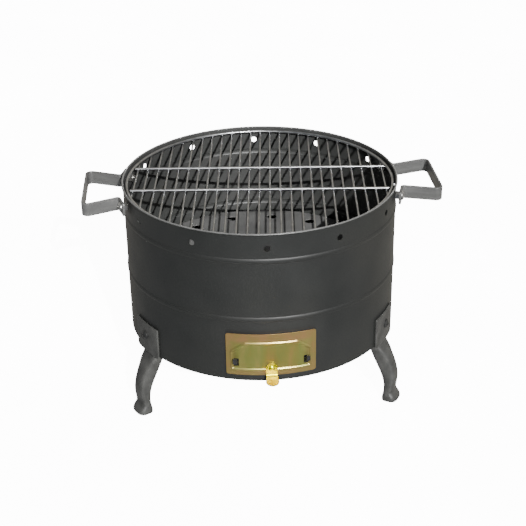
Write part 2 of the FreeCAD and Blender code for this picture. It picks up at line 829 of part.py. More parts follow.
os.makedirs("parts", exist_ok=True)
for part in parts:
    part.Shape.exportStep(f"parts/{part.Label}.step")
    box = part.Shape.BoundBox
    corners = [round(v, 1) for v in (box.XMin, box.YMin, box.ZMin, box.XMax, box.YMax, box.ZMax)]
    print(part.Label, len(part.Shape.Solids), round(part.Shape.Volume, 1), corners)
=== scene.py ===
import bmesh
import bpy
import json
import math
from mathutils import Matrix, Vector


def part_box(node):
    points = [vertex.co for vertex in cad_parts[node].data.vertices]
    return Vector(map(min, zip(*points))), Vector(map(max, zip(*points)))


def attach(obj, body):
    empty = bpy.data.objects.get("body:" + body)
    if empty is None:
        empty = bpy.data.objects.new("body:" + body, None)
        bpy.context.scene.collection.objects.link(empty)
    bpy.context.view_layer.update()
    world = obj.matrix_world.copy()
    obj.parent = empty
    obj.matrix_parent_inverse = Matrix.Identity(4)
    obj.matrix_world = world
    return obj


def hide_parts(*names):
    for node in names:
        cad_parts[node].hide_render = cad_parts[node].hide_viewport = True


# Looks of a portable tabletop charcoal grill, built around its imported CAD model. Metres; +Z is up,
# the vent door is at the front (-Y) and an azimuth is counted from the front towards +X.

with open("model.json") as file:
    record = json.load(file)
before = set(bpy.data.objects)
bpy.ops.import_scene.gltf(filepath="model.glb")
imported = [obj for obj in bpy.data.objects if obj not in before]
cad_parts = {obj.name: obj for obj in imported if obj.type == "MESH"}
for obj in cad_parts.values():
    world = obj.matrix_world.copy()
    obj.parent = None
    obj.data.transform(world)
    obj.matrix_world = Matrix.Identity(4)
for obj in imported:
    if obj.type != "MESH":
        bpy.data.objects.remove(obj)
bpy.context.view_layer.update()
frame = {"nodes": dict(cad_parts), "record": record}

MM = 0.001
collection = bpy.context.scene.collection


# ---------------------------------------------------------------- camera

CAMERA_TURN = math.radians(3.7)
CAMERA_ELEVATION = math.radians(27.23)
CAMERA_ROLL = math.radians(-0.9)
CAMERA_DISTANCE = 1.6028
CAMERA_AIM = Vector((0.0029, 0.0, 0.1646))
CAMERA_LENS = 80.1
CAMERA_SENSOR = 36

# The picture's own axes in the camera's frame before the turn about Z.
view_right = Vector((1, 0, 0))
view_forward = Vector((0, math.cos(CAMERA_ELEVATION), -math.sin(CAMERA_ELEVATION)))
view_up = view_right.cross(view_forward)
screen_right = view_right * math.cos(CAMERA_ROLL) + view_up * math.sin(CAMERA_ROLL)
screen_up = view_up * math.cos(CAMERA_ROLL) - view_right * math.sin(CAMERA_ROLL)
placing = Matrix((screen_right, screen_up, -view_forward)).transposed().to_4x4()
placing.translation = CAMERA_AIM - view_forward * CAMERA_DISTANCE
turn_view = Matrix.Rotation(-CAMERA_TURN, 4, "Z")

camera = bpy.data.objects.new("camera", bpy.data.cameras.new("camera"))
collection.objects.link(camera)
camera.matrix_world = turn_view @ placing
camera.data.lens = CAMERA_LENS
camera.data.sensor_width = CAMERA_SENSOR
bpy.context.scene.camera = camera


# ---------------------------------------------------------------- materials

# Places of the colour sockets among those of a Mix node.
MIX_SHARE, MIX_FIRST, MIX_SECOND, MIX_RESULT = 0, 6, 7, 2
# Scale of the mottle in a tint, in cycles per metre, and of the wear against a finish's mottle.
TINT_PATCH = 60.0
WEAR_SCALE = 2.3
# The parts of the noises' range that the colours and the gloss are spread over.
MOTTLE_RANGE = (0.35, 0.65)
WEAR_RANGE = (0.15, 0.85)


def new_material(name):
    """A new node material and its Principled shader."""
    material = bpy.data.materials.new(name)
    material.use_nodes = True
    return material, material.node_tree.nodes["Principled BSDF"]


def add_node(material, kind, **inputs):
    """A node with some of its inputs set by name."""
    node = material.node_tree.nodes.new(kind)
    for name, value in inputs.items():
        node.inputs[name.replace("_", " ")].default_value = value
    return node


def noise(material, scale, detail=3.0, stretch=(1, 1, 1)):
    """A noise over the object's own coordinates; scale is in cycles per metre."""
    place = add_node(material, "ShaderNodeTexCoord")
    squeeze = add_node(material, "ShaderNodeMapping", Scale=stretch)
    field = add_node(material, "ShaderNodeTexNoise", Scale=scale, Detail=detail)
    links = material.node_tree.links
    links.new(place.outputs["Object"], squeeze.inputs["Vector"])
    links.new(squeeze.outputs["Vector"], field.inputs["Vector"])
    return field.outputs["Fac"]


def ramp(material, value, stops):
    """A colour ramp over a value; stops are (position, colour)."""
    node = material.node_tree.nodes.new("ShaderNodeValToRGB")
    material.node_tree.links.new(value, node.inputs["Fac"])
    elements = node.color_ramp.elements
    while len(elements) < len(stops):
        elements.new(0.5)
    for element, (position, colour) in zip(elements, stops):
        element.position = position
        element.color = (*colour, 1.0)
    return node.outputs["Color"]


def rescale(material, value, before, after, interpolation="LINEAR"):
    """Maps one range of a value to another and holds it there."""
    node = add_node(material, "ShaderNodeMapRange")
    node.interpolation_type = interpolation
    for name, number in zip(("From Min", "From Max", "To Min", "To Max"), (*before, *after)):
        node.inputs[name].default_value = number
    material.node_tree.links.new(value, node.inputs["Value"])
    return node.outputs["Result"]


def bump(material, shader, layers):
    """Stacks bump layers, each (height, distance in metres), on the shader's normal."""
    links = material.node_tree.links
    normal = None
    for height, distance in layers:
        node = add_node(material, "ShaderNodeBump", Strength=1.0, Distance=distance)
        links.new(height, node.inputs["Height"])
        if normal is not None:
            links.new(normal, node.inputs["Normal"])
        normal = node.outputs["Normal"]
    links.new(normal, shader.inputs["Normal"])


def surface(name, colours, patch, roughness, grain, metallic=0.0, stretch=(1, 1, 1)):
    """A finish with mottled colour, uneven gloss and fine relief.

    patch is the scale of the mottle in cycles per metre, and grain lists each layer of relief as
    (scale, height). Roughness stays above 0.28 everywhere, because a renderer's denoiser draws a
    line where a surface passes into its range of mirrors.
    """
    material, shader = new_material(name)
    links = material.node_tree.links
    mottle = noise(material, patch, 5.0, stretch)
    first, last = MOTTLE_RANGE
    step = (last - first) / (len(colours) - 1)
    stops = [(first + step * i, colour) for i, colour in enumerate(colours)]
    links.new(ramp(material, mottle, stops), shader.inputs["Base Color"])
    wear = noise(material, patch * WEAR_SCALE, 4.0, stretch)
    gloss = rescale(material, wear, WEAR_RANGE, roughness, "SMOOTHERSTEP")
    links.new(gloss, shader.inputs["Roughness"])
    layers = [(noise(material, scale, 2.0, stretch), height) for scale, height in grain]
    bump(material, shader, layers)
    shader.inputs["Metallic"].default_value = metallic
    return material


def place_axes(material):
    """The object's own x, y and z coordinates."""
    place = add_node(material, "ShaderNodeTexCoord")
    split = add_node(material, "ShaderNodeSeparateXYZ")
    material.node_tree.links.new(place.outputs["Object"], split.inputs["Vector"])
    return split.outputs


def outward_share(material):
    """How far a surface faces away from the upright axis: minus on the inside of the drum."""
    place = add_node(material, "ShaderNodeTexCoord")
    level = material.node_tree.nodes.new("ShaderNodeVectorMath")
    level.operation = "MULTIPLY"
    level.inputs[1].default_value = (1, 1, 0)
    facing = material.node_tree.nodes.new("ShaderNodeVectorMath")
    facing.operation = "DOT_PRODUCT"
    links = material.node_tree.links
    links.new(place.outputs["Object"], level.inputs[0])
    links.new(level.outputs["Vector"], facing.inputs[0])
    links.new(place.outputs["Normal"], facing.inputs[1])
    return facing.outputs["Value"]


def combine(material, operation, first, second=None):
    """A math node over one or two values."""
    node = material.node_tree.nodes.new("ShaderNodeMath")
    node.operation = operation
    material.node_tree.links.new(first, node.inputs[0])
    if second is not None:
        material.node_tree.links.new(second, node.inputs[1])
    return node.outputs["Value"]


def tint(material, share, colours):
    """Blends the finish's colour towards others as a share of the surface goes from 0 to 1."""
    shader = material.node_tree.nodes["Principled BSDF"]
    links = material.node_tree.links
    plain = shader.inputs["Base Color"].links[0].from_socket
    mix = material.node_tree.nodes.new("ShaderNodeMix")
    mix.data_type = "RGBA"
    links.new(share, mix.inputs[MIX_SHARE])
    links.new(plain, mix.inputs[MIX_FIRST])
    other = ramp(material, noise(material, TINT_PATCH, 4.0), colours)
    links.new(other, mix.inputs[MIX_SECOND])
    links.new(mix.outputs[MIX_RESULT], shader.inputs["Base Color"])


def scale_roughness(material, factor):
    """Multiplies the finish's roughness by a factor that varies over the surface."""
    socket = material.node_tree.nodes["Principled BSDF"].inputs["Roughness"]
    scaled = combine(material, "MULTIPLY", socket.links[0].from_socket, factor)
    material.node_tree.links.new(scaled, socket)


def make_drum_paint():
    """Satin dark grey paint, lighter inside the drum, rubbed glossier on the crown of the rolled rim
    and lighter there, partly as rubbed paint and partly as a painted highlight.
    """
    material = surface(
        "drum_paint",
        [(0.0105, 0.0112, 0.0105), (0.013, 0.0136, 0.0127), (0.0152, 0.0155, 0.014)],
        9.0,
        (0.42, 0.52),
        [(420.0, 0.0001), (2600.0, 0.000025)],
    )
    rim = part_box("drum_wall")[1].z
    inner = rescale(material, outward_share(material), (-0.09, -0.11), (0.0, 1.0))
    tint(material, inner, [(0.3, (0.029, 0.030, 0.0288)), (0.7, (0.0345, 0.0355, 0.034))])
    height = place_axes(material)["Z"]
    # On the crown of the rim the paint is rubbed glossier. Its lighter colour there is partly rubbed
    # paint and partly a painted highlight.
    rim_wear_and_highlight = rescale(material, height, (rim - 1.6 * MM, rim - 0.6 * MM), (0.0, 1.0))
    tint(material, rim_wear_and_highlight, [(0.3, (0.09, 0.09, 0.088)), (0.7, (0.15, 0.15, 0.146))])
    scale_roughness(material, rescale(material, rim_wear_and_highlight, (0.0, 1.0), (1.0, 0.68)))
    return material


def make_door_zinc():
    """Yellow-passivated zinc: olive in the middle and browner towards the edges of the sheet."""
    material = surface(
        "door_zinc",
        [(0.41, 0.31, 0.09), (0.35, 0.31, 0.08), (0.31, 0.32, 0.085), (0.38, 0.345, 0.10)],
        30.0,
        (0.285, 0.365),
        [(500.0, 0.00004), (2200.0, 0.000015)],
        metallic=0.8,
        stretch=(1.6, 1.6, 0.5),
    )
    low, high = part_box("vent_door")
    axes = place_axes(material)
    above = rescale(material, axes["Z"], (high.z - 16 * MM, high.z - 9 * MM), (0.0, 1.0))
    below = rescale(material, axes["Z"], (low.z + 10 * MM, low.z + 4 * MM), (0.0, 0.8))
    aside = combine(material, "ABSOLUTE", axes["X"])
    beside = rescale(material, aside, (42 * MM, 53 * MM), (0.0, 0.8))
    edge = combine(material, "MAXIMUM", combine(material, "MAXIMUM", above, below), beside)
    tint(material, edge, [(0.35, (0.47, 0.28, 0.12)), (0.65, (0.41, 0.30, 0.105))])
    return material


def make_tab_brass():
    """Bright yellow-passivated zinc that turns amber towards the tip of the tab."""
    material = surface(
        "tab_brass",
        [(0.84, 0.84, 0.0), (0.92, 0.94, 0.0)],
        60.0,
        (0.34, 0.42),
        [(700.0, 0.00002)],
        metallic=1.0,
    )
    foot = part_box("door_pull_tab")[0].z
    height = place_axes(material)["Z"]
    tip = rescale(material, height, (foot + 8 * MM, foot + 2 * MM), (0.0, 1.0))
    tint(material, tip, [(0.3, (0.80, 0.46, 0.0)), (0.7, (0.88, 0.58, 0.0))])
    return material


finishes = {
    "drum_paint": make_drum_paint(),
    "door_zinc": make_door_zinc(),
    "tab_brass": make_tab_brass(),
    "leg_paint": surface(
        "leg_paint",
        [(0.032, 0.032, 0.030), (0.043, 0.043, 0.0405), (0.054, 0.054, 0.0505)],
        60.0,
        (0.46, 0.56),
        [(350.0, 0.00015), (1500.0, 0.00005)],
        metallic=0.1,
    ),
    "handle_paint": surface(
        "handle_paint",
        [(0.092, 0.092, 0.089), (0.11, 0.11, 0.107), (0.128, 0.128, 0.124)],
        40.0,
        (0.36, 0.46),
        [(300.0, 0.00006), (1500.0, 0.00003)],
        metallic=0.4,
        stretch=(0.4, 0.4, 3.0),
    ),
    "grate_chrome": surface(
        "grate_chrome",
        [(0.34, 0.345, 0.35), (0.41, 0.415, 0.42), (0.48, 0.485, 0.49)],
        70.0,
        (0.29, 0.35),
        [(900.0, 0.00001)],
        metallic=1.0,
    ),
    "plate_steel": surface(
        "plate_steel",
        [(0.085, 0.085, 0.083), (0.11, 0.11, 0.107), (0.13, 0.13, 0.127)],
        22.0,
        (0.45, 0.62),
        [(300.0, 0.0001), (1800.0, 0.00003)],
        metallic=0.2,
    ),
    "zinc_fastener": surface(
        "zinc_fastener",
        [(0.62, 0.61, 0.58), (0.72, 0.71, 0.68)],
        120.0,
        (0.285, 0.35),
        [(1500.0, 0.00003)],
        metallic=1.0,
    ),
    "black_fastener": surface(
        "black_fastener",
        [(0.012, 0.012, 0.012), (0.02, 0.02, 0.019)],
        150.0,
        (0.35, 0.5),
        [(1200.0, 0.00004)],
    ),
}
slot_of = {part["node"]: part["material_slot"] for part in frame["record"]["subparts"]}
for node_name, node_object in frame["nodes"].items():
    node_object.data.materials.clear()
    node_object.data.materials.append(finishes[slot_of[node_name]])


# ---------------------------------------------------------------- shape tools

def polar(radius, azimuth, height):
    """A point at a radius and an azimuth in degrees, counted from the front."""
    turn = math.radians(azimuth)
    return Vector((radius * math.sin(turn), -radius * math.cos(turn), height))


def add_rings(bm, rings, closed=False):
    """Skins a row of vertex rings with quads, with a face on each end unless it is closed."""
    made = [[bm.verts.new(point) for point in ring] for ring in rings]
    pairs = list(zip(made, made[1:]))
    if closed:
        pairs.append((made[-1], made[0]))
    for low, high in pairs:
        for i in range(len(low)):
            j = (i + 1) % len(low)
            bm.faces.new((low[i], low[j], high[j], high[i]))
    if not closed:
        bm.faces.new(list(reversed(made[0])))
        bm.faces.new(made[-1])


def circle(centre, across, up, radius, sides):
    """A ring of points round a centre, in the plane of two directions."""
    turns = [2 * math.pi * i / sides for i in range(sides)]
    return [centre + (across * math.cos(t) + up * math.sin(t)) * radius for t in turns]


def add_wire(bm, start, end, radius, sides=16, spans=8, end_steps=5):
    """A straight round wire with softly rounded ends."""
    length = (end - start).length
    along = (end - start).normalized()
    across = along.orthogonal().normalized()
    up = along.cross(across)
    tips = []
    for step in range(end_steps):
        slope = math.pi / 2 * (step + 0.6) / end_steps
        tips.append((radius / 2 * (1 - math.sin(slope)), math.sin(slope)))
    shaft = [(radius / 2 + (length - radius) * step / spans, 1.0) for step in range(spans + 1)]
    far_tips = [(length - reach, grow) for reach, grow in reversed(tips)]
    stations = tips + shaft + far_tips
    add_rings(bm, [
        circle(start + along * reach, across, up, radius * grow, sides)
        for reach, grow in stations
    ])


def add_bead(bm, centre, sizes, turn):
    """A small flattened drop of weld metal."""
    shape = Matrix.Translation(centre) @ turn.to_4x4() @ Matrix.Diagonal((*sizes, 1.0))
    bmesh.ops.create_icosphere(bm, subdivisions=2, radius=1.0, matrix=shape)


def make_piece(name, bm, body, finish, *replaced):
    """Turns a bmesh into a smooth-shaded piece that rides on a body and stands for CAD nodes."""
    bmesh.ops.recalc_face_normals(bm, faces=bm.faces)
    mesh = bpy.data.meshes.new(name)
    bm.to_mesh(mesh)
    bm.free()
    for face in mesh.polygons:
        face.use_smooth = True
    piece = bpy.data.objects.new(name, mesh)
    collection.objects.link(piece)
    mesh.materials.append(finishes[finish])
    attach(piece, body)
    if replaced:
        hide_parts(*replaced)
    return piece


SHARP_ANGLE = math.radians(50)


def round_edges(piece, width):
    """Rounds the sharp edges of a piece by a small bevel."""
    bevel = piece.modifiers.new("rounded", "BEVEL")
    bevel.width = width
    bevel.segments = 3
    bevel.limit_method = "ANGLE"
    bevel.angle_limit = SHARP_ANGLE
    bevel.harden_normals = True


def corner_inset(from_end, corner):
    """How far a round corner draws an edge in, at a distance from the end of the edge."""
    return corner - math.sqrt(max(corner**2 - (corner - from_end) ** 2, 0.0))


def rounded_path(points, bends, steps=10):
    """The points of a polyline whose corners are replaced by arcs."""
    path = [points[0]]
    for corner, before, after, bend in zip(points[1:], points, points[2:], bends):
        inward = (before - corner).normalized()
        onward = (after - corner).normalized()
        half = inward.angle(onward) / 2
        centre = corner + (inward + onward).normalized() * (bend / math.sin(half))
        first = corner + inward * (bend / math.tan(half)) - centre
        last = corner + onward * (bend / math.tan(half)) - centre
        for step in range(steps + 1):
            path.append(centre + first.normalized().slerp(last.normalized(), step / steps) * bend)
    path.append(points[-1])
    return path


def rounded_rectangle(width, height, corner, steps=4):
    """Outline of a rectangle with round corners, as (across, up) pairs."""
    outline = []
    for quarter, (side_x, side_y) in enumerate(((1, 1), (-1, 1), (-1, -1), (1, -1))):
        for step in range(steps + 1):
            turn = math.pi / 2 * (quarter + step / steps)
            across = side_x * (width / 2 - corner) + corner * math.cos(turn)
            up = side_y * (height / 2 - corner) + corner * math.sin(turn)
            outline.append((across, up))
    return outline


# ---------------------------------------------------------------- sizes read from the frame

WALL_GAUGE = 1.0 * MM
FLOOR_GAP = 0.1 * MM
drum_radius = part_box("drum_floor")[1].x + FLOOR_GAP + WALL_GAUGE


def box_middle(node):
    """The middle of a CAD node's box."""
    low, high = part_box(node)
    return (low + high) / 2


# ---------------------------------------------------------------- legs

# Height above the ground, radius of the back face, radius of the front face and width, in mm.
LEG_SECTIONS = (
    (92.0, 162.5, 180.6, 36.0),
    (85.0, 163.8, 181.8, 33.6),
    (76.0, 166.2, 188.2, 30.4),
    (68.0, 168.8, 192.4, 27.0),
    (60.0, 171.9, 196.3, 24.6),
    (52.0, 175.7, 199.3, 23.2),
    (44.0, 179.7, 201.2, 22.6),
    (36.0, 183.2, 202.0, 22.8),
    (28.0, 185.6, 201.5, 23.4),
    (20.0, 186.6, 200.3, 24.4),
    (14.0, 186.6, 199.8, 25.6),
    (11.5, 186.2, 201.2, 26.6),
    (9.0, 185.8, 203.4, 27.6),
    (6.5, 185.4, 205.2, 28.4),
    (4.0, 185.2, 206.2, 28.8),
    (1.2, 185.4, 206.3, 28.8),
    (0.0, 186.2, 205.6, 28.0),
)
# Heights in mm between which the section changes from shank to toe.
TOE_START, TOE_FULL = 16.0, 10.0
# Where the section is widest, as a share of its depth, and how square it is behind and in front.
LEG_WIDEST = 0.45
SHANK_SQUARENESS = (3.6, 3.3)
TOE_SQUARENESS = (4.6, 2.8)
SECTION_STEPS = 3
LEG_OUTLINE_POINTS = 48
LEG_PAD_LOW = 88.0 * MM
LEG_PAD_GAP = 0.3 * MM
LEG_PAD_GAUGE = 3.0 * MM
LEG_PAD_CORNER = 2.5 * MM
LEG_PAD_STEPS = 16
LEG_PAD_CORNER_SHARES = (0.25, 0.6, 0.85)
LEG_VOXEL = 0.8 * MM
LEG_SOFTENING = 0.5
LEG_SOFTENING_ROUNDS = 5


def leg_outline(back, front, width, toe):
    """A cross-section of the leg, a rounded square; toe goes from 0 in the shank to 1."""
    middle = back + LEG_WIDEST * (front - back)
    behind, ahead = (
        shank + (full - shank) * toe for shank, full in zip(SHANK_SQUARENESS, TOE_SQUARENESS)
    )
    points = []
    for step in range(LEG_OUTLINE_POINTS):
        turn = 2 * math.pi * step / LEG_OUTLINE_POINTS
        across, out = math.sin(turn), math.cos(turn)
        power = 2 / (behind if out < 0 else ahead)
        reach = (front - middle) if out > 0 else (middle - back)
        x = math.copysign(abs(across) ** power, across) * width / 2
        y = middle + math.copysign(abs(out) ** power, out) * reach
        points.append((x, -y))
    return points


def add_leg_pad(bm, azimuth_half, top):
    """The curved bolting pad: a rounded plate bent round the drum."""
    inner = drum_radius + LEG_PAD_GAP
    outer = inner + LEG_PAD_GAUGE
    arc = drum_radius * math.radians(azimuth_half)
    runs = {-arc + 2 * arc * step / LEG_PAD_STEPS for step in range(LEG_PAD_STEPS + 1)}
    for share in LEG_PAD_CORNER_SHARES:
        inset = LEG_PAD_CORNER * (1 - share)
        runs |= {-arc + inset, arc - inset}
    rings = []
    for run in sorted(runs):
        drop = corner_inset(min(arc - abs(run), LEG_PAD_CORNER), LEG_PAD_CORNER)
        turn = math.degrees(run / drum_radius)
        low, high = LEG_PAD_LOW + drop, top - drop
        rings.append([
            polar(inner, turn, low),
            polar(outer, turn, low),
            polar(outer, turn, high),
            polar(inner, turn, high),
        ])
    add_rings(bm, rings)


def smoothed(rings):
    """Adds rings between the given ones, on a smooth curve through each row of their points."""
    smooth = [rings[0]]
    for number in range(len(rings) - 1):
        before = rings[max(number - 1, 0)]
        after = rings[min(number + 2, len(rings) - 1)]
        for step in range(1, SECTION_STEPS + 1):
            t = step / SECTION_STEPS
            ring = []
            for p0, p1, p2, p3 in zip(before, rings[number], rings[number + 1], after):
                bend = (p2 - p0) * t + (2 * p0 - 5 * p1 + 4 * p2 - p3) * t**2
                bend += (3 * p1 - p0 - 3 * p2 + p3) * t**3
                ring.append(p1 + bend / 2)
            smooth.append(ring)
    return smooth


def cast_leg():
    """The mesh of a leg at the front: one skin over its pad and its shank."""
    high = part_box("leg_rear")[1]
    pad_front = drum_radius + LEG_PAD_GAP + LEG_PAD_GAUGE
    bm = bmesh.new()
    add_leg_pad(bm, math.degrees(math.asin(high.x / pad_front)), high.z)
    rings = []
    for height, back, front, width in LEG_SECTIONS:
        toe = min(max((TOE_START - height) / (TOE_START - TOE_FULL), 0.0), 1.0)
        outline = leg_outline(back * MM, front * MM, width * MM, toe)
        rings.append([Vector((x, y, height * MM)) for x, y in outline])
    add_rings(bm, smoothed(rings))
    bmesh.ops.recalc_face_normals(bm, faces=bm.faces)
    mesh = bpy.data.meshes.new("leg_casting")
    bm.to_mesh(mesh)
    bm.free()
    casting = bpy.data.objects.new("leg_casting", mesh)
    collection.objects.link(casting)
    remesh = casting.modifiers.new("skin", "REMESH")
    remesh.mode = "VOXEL"
    remesh.voxel_size = LEG_VOXEL
    soften = casting.modifiers.new("soften", "SMOOTH")
    soften.factor = LEG_SOFTENING
    soften.iterations = LEG_SOFTENING_ROUNDS
    leg_mesh = bpy.data.meshes.new_from_object(
        casting.evaluated_get(bpy.context.evaluated_depsgraph_get())
    )
    bpy.data.objects.remove(casting)
    for vertex in leg_mesh.vertices:
        vertex.co.z = max(vertex.co.z, 0.0)
    return leg_mesh


def make_legs():
    """The same casting at each leg's azimuth, which is that of its bolt."""
    mesh = cast_leg()
    for place in ("left", "right", "rear"):
        bolt = box_middle(f"leg_bolt_{place}")
        turn = math.atan2(bolt.x, -bolt.y)
        bm = bmesh.new()
        bm.from_mesh(mesh)
        bmesh.ops.rotate(bm, verts=bm.verts, matrix=Matrix.Rotation(turn, 3, "Z"))
        make_piece(f"leg_{place}_casting", bm, "drum", "leg_paint", f"leg_{place}")


make_legs()


# ---------------------------------------------------------------- handles

BAR_EDGE = 0.7 * MM
BAR_GAUGE = 3.0 * MM
BAR_END_CORNER = 3.0 * MM
BAR_END_SHARES = (0.08, 0.3, 0.6, 1.0)
HANDLE_STAND_OFF = 5.0 * MM
HANDLE_ROOT_BEND = 3.2 * MM
HANDLE_GRIP_BEND = 7.0 * MM
HANDLE_FOOT_OUTER = 10.0 * MM
HANDLE_FOOT_INNER = 14.5 * MM
HANDLE_HALF_LENGTH = {"left": 58.0 * MM, "right": 53.5 * MM}


def with_end_steps(path):
    """The path with a few more points near its start, where the bar's corners are round."""
    inward = (path[1] - path[0]).normalized()
    steps = [path[0] + inward * BAR_END_CORNER * share for share in BAR_END_SHARES]
    return path[:1] + steps + path[1:]


def handle_path(side, reach):
    """The middle line of a handle that sticks out to the right, from foot to foot."""
    bolt = box_middle(f"handle_bolt_{side}_rear")
    splay = math.atan2(bolt.y, abs(bolt.x))
    seat = drum_radius + HANDLE_STAND_OFF + BAR_GAUGE / 2
    at_bolt = Vector((math.cos(splay), math.sin(splay), 0)) * seat
    tangent = Vector((-math.sin(splay), math.cos(splay), 0))
    foot = at_bolt + tangent * HANDLE_FOOT_OUTER
    root = at_bolt - tangent * HANDLE_FOOT_INNER
    grip = Vector((reach, HANDLE_HALF_LENGTH[side] - BAR_GAUGE / 2, 0))
    half_line = [foot, root, grip]
    line = half_line + [Vector((p.x, -p.y, 0)) for p in reversed(half_line)]
    bends = [HANDLE_ROOT_BEND, HANDLE_GRIP_BEND, HANDLE_GRIP_BEND, HANDLE_ROOT_BEND]
    path = with_end_steps(rounded_path(line, bends))
    return with_end_steps(path[::-1])[::-1]


def make_handle(side):
    """A flat bar on edge, bent into a loop, with rounded edges and rounded feet."""
    sign = -1 if side == "left" else 1
    low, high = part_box(f"handle_{side}")
    bar_width = high.z - low.z
    level = (high.z + low.z) / 2
    path = handle_path(side, max(abs(low.x), abs(high.x)) - BAR_GAUGE / 2)
    rings = []
    for i, point in enumerate(path):
        back = path[max(i - 1, 0)]
        ahead = path[min(i + 1, len(path) - 1)]
        along = (ahead - back).normalized()
        outward = Vector((along.y, -along.x, 0))
        from_end = min((point - path[0]).length, (point - path[-1]).length, BAR_END_CORNER)
        inset = corner_inset(from_end, BAR_END_CORNER)
        ring = []
        for across, up in rounded_rectangle(BAR_GAUGE, bar_width - 2 * inset, BAR_EDGE):
            spot = point + outward * across
            ring.append(Vector((sign * spot.x, sign * spot.y, level + up)))
        rings.append(ring)
    bm = bmesh.new()
    add_rings(bm, rings)
    make_piece(f"handle_{side}_bar", bm, "drum", "handle_paint", f"handle_{side}")


for handle_side in ("left", "right"):
    make_handle(handle_side)


# ---------------------------------------------------------------- cooking grate

GRATE_TURN = -4.3
BAR_COUNT = 25
BAR_PITCH = 13.7 * MM
ROD_CENTRES = (-35.0 * MM, 38.0 * MM)
ROD_HALF = 168.0 * MM
RING_STEPS = 192
RING_SIDES = 14
ROD_WELD = (1.6 * MM, 1.9 * MM, 0.6 * MM)
RING_WELD = (1.6 * MM, 1.8 * MM, 0.6 * MM)
RING_WELD_INSET = 0.6 * MM
WELD_SINK = 0.1 * MM

grate_turn = Matrix.Rotation(math.radians(GRATE_TURN), 3, "Z")


def wire_of(node):
    """The radius of a flat wire node's wire, and the height of its middle."""
    low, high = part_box(node)
    return (high.z - low.z) / 2, (high.z + low.z) / 2


def turned_wire(bm, start, end, radius):
    """A straight wire drawn square to the drum and turned with the grate."""
    add_wire(bm, grate_turn @ Vector(start), grate_turn @ Vector(end), radius)


def make_grate():
    """Round wires: bars under a ring and two cross rods, with a drop of weld at each crossing."""
    bar_radius, bar_level = wire_of("grate_bars")
    ring_wire, ring_level = wire_of("grate_ring")
    rod_radius, rod_level = wire_of("grate_cross_rods")
    ring_low, ring_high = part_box("grate_ring")
    ring_radius = (ring_high.x - ring_low.x) / 2 - ring_wire
    contact = bar_level + bar_radius - WELD_SINK

    bars = bmesh.new()
    welds = bmesh.new()
    for number in range(BAR_COUNT):
        x = (number - BAR_COUNT // 2) * BAR_PITCH
        half = math.sqrt(ring_radius**2 - x**2)
        turned_wire(bars, (x, -half, bar_level), (x, half, bar_level), bar_radius)
        drops = [(centre, ROD_WELD) for centre in ROD_CENTRES]
        drops += [(side * (half - RING_WELD_INSET), RING_WELD) for side in (-1, 1)]
        for y, sizes in drops:
            add_bead(welds, grate_turn @ Vector((x, y, contact)), sizes, grate_turn)
    make_piece("grate_bars_wire", bars, "grate", "grate_chrome", "grate_bars")
    make_piece("grate_welds", welds, "grate", "grate_chrome")

    ring = bmesh.new()
    rings = []
    for step in range(RING_STEPS):
        out = polar(1.0, 360 * step / RING_STEPS, 0)
        centre = out * ring_radius + Vector((0, 0, ring_level))
        rings.append(circle(centre, out, Vector((0, 0, 1)), ring_wire, RING_SIDES))
    add_rings(ring, rings, closed=True)
    make_piece("grate_ring_wire", ring, "grate", "grate_chrome", "grate_ring")

    rods = bmesh.new()
    for y in ROD_CENTRES:
        turned_wire(rods, (-ROD_HALF, y, rod_level), (ROD_HALF, y, rod_level), rod_radius)
    make_piece("grate_cross_rod_wires", rods, "grate", "grate_chrome", "grate_cross_rods")


make_grate()


# ---------------------------------------------------------------- vent door

DOOR_GAUGE = 1.0 * MM
DOOR_GAP = 1.5 * MM
DOOR_INNER = drum_radius + DOOR_GAP
DOOR_MIDDLE = DOOR_INNER + DOOR_GAUGE / 2
DOOR_HALF_ANGLE = 18.05
DOOR_CORNER = 3.0 * MM
DOOR_EDGE = 0.15 * MM
RIB_HALF_WIDTH = 2.0 * MM
RIB_HEIGHT = 1.3 * MM
RIB_SIDE_ANGLE = 15.9
RIB_TOP_ANGLE = 10.3
RIB_BOTTOM = 7.9 * MM
RIB_SHOULDER = 33.5 * MM
RIB_TOP = 45.5 * MM
RIB_CORNER = 3.0 * MM
SLOT_ANGLE = 14.05
SLOT_HALF_WIDTH = 3.5 * MM
SLOT_LOW = 12.5 * MM
SLOT_HIGH = 23.5 * MM
DOOR_STEP = 0.6 * MM
DOOR_MERGE = 0.01 * MM


def ruled(stops, step):
    """Evenly divides the stretches between stops, keeping every stop."""
    values = [stops[0]]
    for low, high in zip(stops, stops[1:]):
        count = max(round((high - low) / step), 1)
        values += [low + (high - low) * i / count for i in range(1, count + 1)]
    return values


def along_door(azimuth):
    """How far along the flat sheet an azimuth is from the middle of the door."""
    return math.radians(azimuth) * DOOR_MIDDLE


def distance_to_path(point, path):
    """Shortest distance from a flat point to a closed path."""
    distances = []
    for start, end in zip(path, path[1:] + path[:1]):
        run = end - start
        share = min(max((point - start).dot(run) / run.length_squared, 0.0), 1.0)
        distances.append((point - start - run * share).length)
    return min(distances)


def rib_path():
    """The crest of the pressed rib on the flat sheet."""
    side, top = along_door(RIB_SIDE_ANGLE), along_door(RIB_TOP_ANGLE)
    corners = [
        Vector((-side, RIB_BOTTOM, 0)),
        Vector((side, RIB_BOTTOM, 0)),
        Vector((side, RIB_SHOULDER, 0)),
        Vector((top, RIB_TOP, 0)),
        Vector((-top, RIB_TOP, 0)),
        Vector((-side, RIB_SHOULDER, 0)),
    ]
    looped = [corners[-1]] + corners + [corners[0]]
    return rounded_path(looped, [RIB_CORNER] * len(corners), 6)[1:-1]


